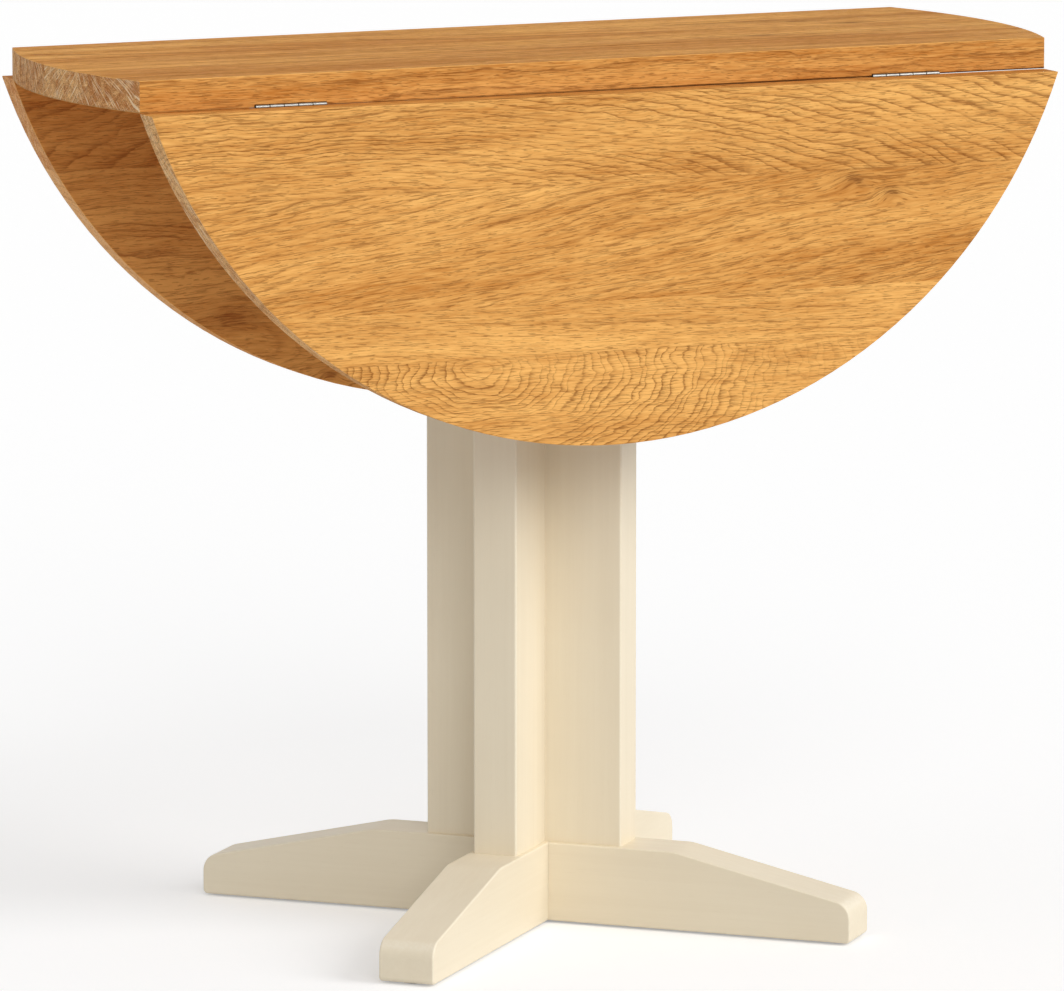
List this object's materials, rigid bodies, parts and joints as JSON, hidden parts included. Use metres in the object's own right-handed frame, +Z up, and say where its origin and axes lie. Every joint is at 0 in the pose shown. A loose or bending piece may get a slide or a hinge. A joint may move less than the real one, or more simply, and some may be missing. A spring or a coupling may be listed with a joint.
{
  "type": "extending dining table",
  "caption": "Round drop-leaf dining table: fixed oak centre board on a crossed-plank column, two hinged leaves held up by telescopic locking stays.",
  "frame": {"origin": "on the floor under the middle of the table, the centre of the bounding box's bottom face", "axes": "+X along the two hinge lines towards the right end, +Y towards the rear leaf, +Z up"},
  "size_m": [0.8998, 0.4638, 0.774],
  "materials": {
    "oak": "oiled open-pored oak, staves glued along the hinge lines",
    "cream_paint": "cream satin paint over solid wood",
    "bare_beech": "bare lacquered beech",
    "dowel_beech": "bare beech dowels",
    "glide_plastic": "matte",
    "insert_brass": "turned",
    "hinge_steel": "satin nickel-plated steel",
    "rod_steel": "bright drawn rod",
    "stay_steel": "zinc-plated steel",
    "collar_plastic": "matte, fluted grip",
    "zinc_steel": "zinc-plated steel"
  },
  "bodies": {
    "stand": {"base_beam_lower": "cream_paint", "base_beam_upper": "cream_paint", "base_bolts": "zinc_steel", "base_washers": "zinc_steel", "centre_board": "oak", "cleat_screws": "zinc_steel", "column_core_plank": "cream_paint", "column_dowels": "dowel_beech", "column_inserts": "insert_brass", "column_wing_front": "cream_paint", "column_wing_rear": "cream_paint", "cross_cleat_left": "bare_beech", "cross_cleat_right": "bare_beech", "foot_glides": "glide_plastic", "head_bearer_lower": "bare_beech", "head_bearer_upper": "bare_beech", "head_bolts": "zinc_steel", "head_screws": "zinc_steel", "head_washers": "zinc_steel", "hinge_front_left_board_plate": "hinge_steel", "hinge_front_left_pin": "hinge_steel", "hinge_front_right_board_plate": "hinge_steel", "hinge_front_right_pin": "hinge_steel", "hinge_rear_left_board_plate": "hinge_steel", "hinge_rear_left_pin": "hinge_steel", "hinge_rear_right_board_plate": "hinge_steel", "hinge_rear_right_pin": "hinge_steel", "hinge_screws_board": "zinc_steel", "stay_frame_pins": "stay_steel"},
    "front_leaf": {"front_leaf": "oak", "bracket_screws_front_leaf": "zinc_steel", "hinge_front_left_leaf_plate": "hinge_steel", "hinge_front_right_leaf_plate": "hinge_steel", "hinge_screws_front_leaf": "zinc_steel", "stay_front_left_bracket": "stay_steel", "stay_front_right_bracket": "stay_steel", "stay_leaf_pins_front": "stay_steel"},
    "rear_leaf": {"rear_leaf": "oak", "bracket_screws_rear_leaf": "zinc_steel", "hinge_rear_left_leaf_plate": "hinge_steel", "hinge_rear_right_leaf_plate": "hinge_steel", "hinge_screws_rear_leaf": "zinc_steel", "stay_leaf_pins_rear": "stay_steel", "stay_rear_left_bracket": "stay_steel", "stay_rear_right_bracket": "stay_steel"},
    "stay_front_left_lock_collar": {"stay_front_left_lock_collar": "collar_plastic"},
    "stay_front_left_rod": {"stay_front_left_rod": "rod_steel"},
    "stay_front_left_tube": {"stay_front_left_tube": "stay_steel"},
    "stay_front_right_lock_collar": {"stay_front_right_lock_collar": "collar_plastic"},
    "stay_front_right_rod": {"stay_front_right_rod": "rod_steel"},
    "stay_front_right_tube": {"stay_front_right_tube": "stay_steel"},
    "stay_rear_left_lock_collar": {"stay_rear_left_lock_collar": "collar_plastic"},
    "stay_rear_left_rod": {"stay_rear_left_rod": "rod_steel"},
    "stay_rear_left_tube": {"stay_rear_left_tube": "stay_steel"},
    "stay_rear_right_lock_collar": {"stay_rear_right_lock_collar": "collar_plastic"},
    "stay_rear_right_rod": {"stay_rear_right_rod": "rod_steel"},
    "stay_rear_right_tube": {"stay_rear_right_tube": "stay_steel"}
  },
  "joints": [
    {"name": "front_leaf_hinge", "type": "hinge", "parent": "stand", "child": "front_leaf", "pos_m": [0, -0.148, 0.7472], "axis": [-1, 0, 0], "range_deg": [0, 90]},
    {"name": "rear_leaf_hinge", "type": "hinge", "parent": "stand", "child": "rear_leaf", "pos_m": [0, 0.148, 0.7472], "axis": [1, 0, 0], "range_deg": [0, 90]},
    {"name": "stay_front_left_leaf_pivot", "type": "hinge", "parent": "front_leaf", "child": "stay_front_left_tube", "pos_m": [-0.21443, -0.136, 0.60703], "axis": [-1, 0, 0], "range_deg": [-45, 0]},
    {"name": "stay_front_left_frame_pivot", "type": "hinge", "parent": "stand", "child": "stay_front_left_rod", "pos_m": [-0.21443, -0.011, 0.7152], "axis": [-1, 0, 0], "range_deg": [0, 45]},
    {"name": "stay_front_left_lock_twist", "type": "hinge", "parent": "stay_front_left_tube", "child": "stay_front_left_lock_collar", "pos_m": [-0.21443, -0.136, 0.60703], "axis": [0, 0.7562, 0.6544], "range_deg": [0, 60]},
    {"name": "stay_front_right_leaf_pivot", "type": "hinge", "parent": "front_leaf", "child": "stay_front_right_tube", "pos_m": [0.21443, -0.136, 0.60703], "axis": [-1, 0, 0], "range_deg": [-45, 0]},
    {"name": "stay_front_right_frame_pivot", "type": "hinge", "parent": "stand", "child": "stay_front_right_rod", "pos_m": [0.21443, -0.011, 0.7152], "axis": [-1, 0, 0], "range_deg": [0, 45]},
    {"name": "stay_front_right_lock_twist", "type": "hinge", "parent": "stay_front_right_tube", "child": "stay_front_right_lock_collar", "pos_m": [0.21443, -0.136, 0.60703], "axis": [0, 0.7562, 0.6544], "range_deg": [0, 60]},
    {"name": "stay_rear_left_leaf_pivot", "type": "hinge", "parent": "rear_leaf", "child": "stay_rear_left_tube", "pos_m": [-0.21443, 0.136, 0.60703], "axis": [1, 0, 0], "range_deg": [-45, 0]},
    {"name": "stay_rear_left_frame_pivot", "type": "hinge", "parent": "stand", "child": "stay_rear_left_rod", "pos_m": [-0.21443, 0.011, 0.7152], "axis": [1, 0, 0], "range_deg": [0, 45]},
    {"name": "stay_rear_left_lock_twist", "type": "hinge", "parent": "stay_rear_left_tube", "child": "stay_rear_left_lock_collar", "pos_m": [-0.21443, 0.136, 0.60703], "axis": [0, -0.7562, 0.6544], "range_deg": [0, 60]},
    {"name": "stay_rear_right_leaf_pivot", "type": "hinge", "parent": "rear_leaf", "child": "stay_rear_right_tube", "pos_m": [0.21443, 0.136, 0.60703], "axis": [1, 0, 0], "range_deg": [-45, 0]},
    {"name": "stay_rear_right_frame_pivot", "type": "hinge", "parent": "stand", "child": "stay_rear_right_rod", "pos_m": [0.21443, 0.011, 0.7152], "axis": [1, 0, 0], "range_deg": [0, 45]},
    {"name": "stay_rear_right_lock_twist", "type": "hinge", "parent": "stay_rear_right_tube", "child": "stay_rear_right_lock_collar", "pos_m": [0.21443, 0.136, 0.60703], "axis": [0, -0.7562, 0.6544], "range_deg": [0, 60]}
  ],
  "couplings": [
    {"joint": "stay_front_left_leaf_pivot", "follows": "front_leaf_hinge", "ratio": -0.5},
    {"joint": "stay_front_left_frame_pivot", "follows": "front_leaf_hinge", "ratio": 0.5},
    {"joint": "stay_front_right_leaf_pivot", "follows": "front_leaf_hinge", "ratio": -0.5},
    {"joint": "stay_front_right_frame_pivot", "follows": "front_leaf_hinge", "ratio": 0.5},
    {"joint": "stay_rear_left_leaf_pivot", "follows": "rear_leaf_hinge", "ratio": -0.5},
    {"joint": "stay_rear_left_frame_pivot", "follows": "rear_leaf_hinge", "ratio": 0.5},
    {"joint": "stay_rear_right_leaf_pivot", "follows": "rear_leaf_hinge", "ratio": -0.5},
    {"joint": "stay_rear_right_frame_pivot", "follows": "rear_leaf_hinge", "ratio": 0.5}
  ]
}
